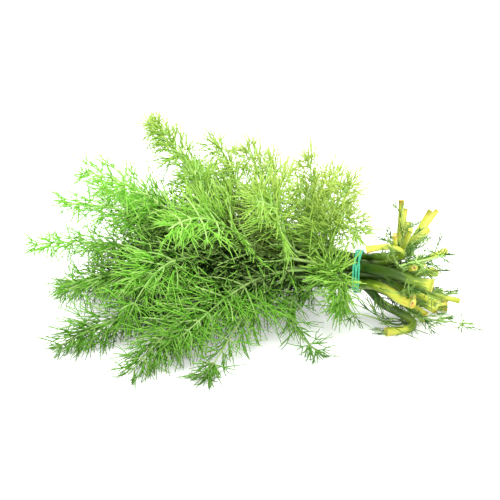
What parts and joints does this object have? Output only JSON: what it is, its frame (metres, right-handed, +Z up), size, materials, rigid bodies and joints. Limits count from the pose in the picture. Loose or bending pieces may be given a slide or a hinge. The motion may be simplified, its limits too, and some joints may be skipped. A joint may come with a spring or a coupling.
{
  "type": "dill bunch",
  "caption": "Bunch of fresh dill lying on its side: cut stems held by a rubber band at one end, feathery fronds spreading at the other.",
  "frame": {"origin": "on the surface the bunch lies on, under the middle of its box", "axes": "+X along the stems towards their cut ends, +Z up, -Y to the side the bunch is mostly seen from"},
  "size_m": [0.2882, 0.2408, 0.1292],
  "materials": {
    "stem": "fresh green stem, satin",
    "leaf": "fresh thread-like leaf, satin",
    "band": "smooth"
  },
  "bodies": {
    "root": {"stem_crown_left": "stem", "stem_crown_back": "stem", "stem_crown_middle": "stem", "stem_crown_right": "stem", "stem_crown_front": "stem", "stem_over_band_high": "stem", "stem_over_band_low": "stem", "stem_curtain": "stem", "stem_front_arch": "stem", "stem_front_star": "stem", "stem_front_fall": "stem", "stem_front_middle": "stem", "stem_left_high": "stem", "stem_left_upper": "stem", "stem_left_far": "stem", "stem_left_low": "stem", "stem_floor_left": "stem", "stem_floor_front_left": "stem", "stem_floor_front": "stem", "stem_floor_front_middle": "stem", "stem_floor_front_right": "stem", "stem_back_right": "stem", "stem_back_middle": "stem", "stem_back_left": "stem", "stem_left_back": "stem", "stem_floor_back_left": "stem", "stem_floor_back": "stem", "stem_floor_back_right": "stem", "band": "band", "frond_crown_left": "leaf", "frond_crown_back": "leaf", "frond_crown_middle": "leaf", "frond_crown_right": "leaf", "frond_crown_front": "leaf", "frond_over_band_high": "leaf", "frond_over_band_low": "leaf", "frond_curtain": "leaf", "frond_front_arch": "leaf", "frond_front_star": "leaf", "frond_front_fall": "leaf", "frond_front_middle": "leaf", "frond_left_high": "leaf", "frond_left_upper": "leaf", "frond_left_far": "leaf", "frond_left_low": "leaf", "frond_floor_left": "leaf", "frond_floor_front_left": "leaf", "frond_floor_front": "leaf", "frond_floor_front_middle": "leaf", "frond_floor_front_right": "leaf", "frond_back_right": "leaf", "frond_back_middle": "leaf", "frond_back_left": "leaf", "frond_left_back": "leaf", "frond_floor_back_left": "leaf", "frond_floor_back": "leaf", "frond_floor_back_right": "leaf", "sprig_front": "leaf", "sprig_end": "leaf", "sprig_middle": "leaf"}
  },
  "joints": []
}
